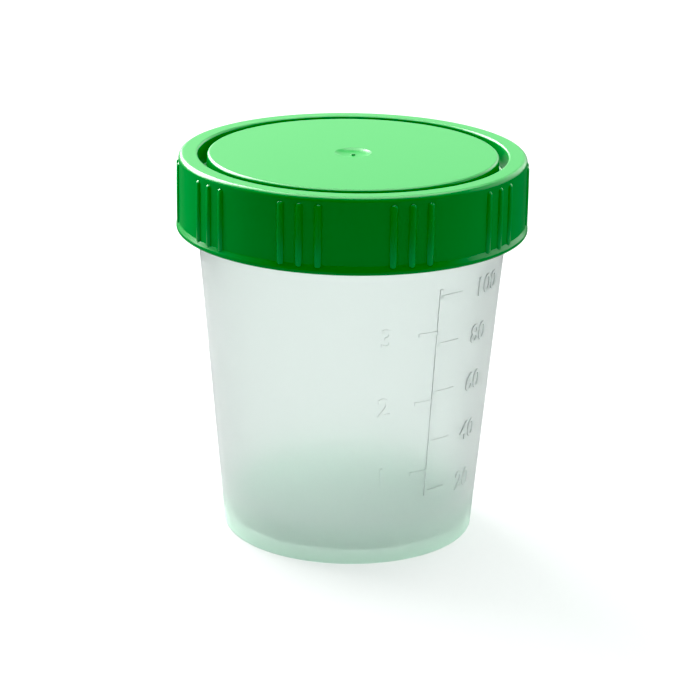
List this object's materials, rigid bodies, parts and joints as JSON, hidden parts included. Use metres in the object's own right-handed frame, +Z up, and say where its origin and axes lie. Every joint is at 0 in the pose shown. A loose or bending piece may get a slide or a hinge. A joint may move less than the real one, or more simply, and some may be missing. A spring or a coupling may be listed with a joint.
{
  "type": "specimen cup with screw lid",
  "caption": "Tapered translucent specimen cup with a raised volume scale, closed by a ribbed screw lid with a grooved plug and a flat sealing washer.",
  "frame": {"origin": "centre of the foot, on the surface that the cup stands on", "axes": "+Z up along the cup's axis; -Y is the front, which the scale's left side faces"},
  "size_m": [0.0666, 0.0666, 0.074],
  "materials": {
    "cup_plastic": "natural translucent polypropylene, fine satin inside and out, glossier scale",
    "seal_plastic": "soft white polyethylene, matt",
    "lid_plastic": "opaque green polypropylene, moulded gloss"
  },
  "bodies": {
    "cup": {"cup": "cup_plastic"},
    "seal": {"seal_ring": "seal_plastic"},
    "lid": {"screw_lid": "lid_plastic"}
  },
  "joints": [
    {"name": "lid_rise", "type": "slide", "parent": "cup", "child": "seal", "axis": [0, 0, 1], "range_m": [0, 0.024]},
    {"name": "lid_turn", "type": "hinge", "parent": "seal", "child": "lid", "pos_m": [0, 0, 0.06], "axis": [0, 0, 1], "range_deg": [0, 720]}
  ],
  "couplings": [
    {"joint": "lid_rise", "follows": "lid_turn", "m_per_rad": 0.0019099}
  ]
}
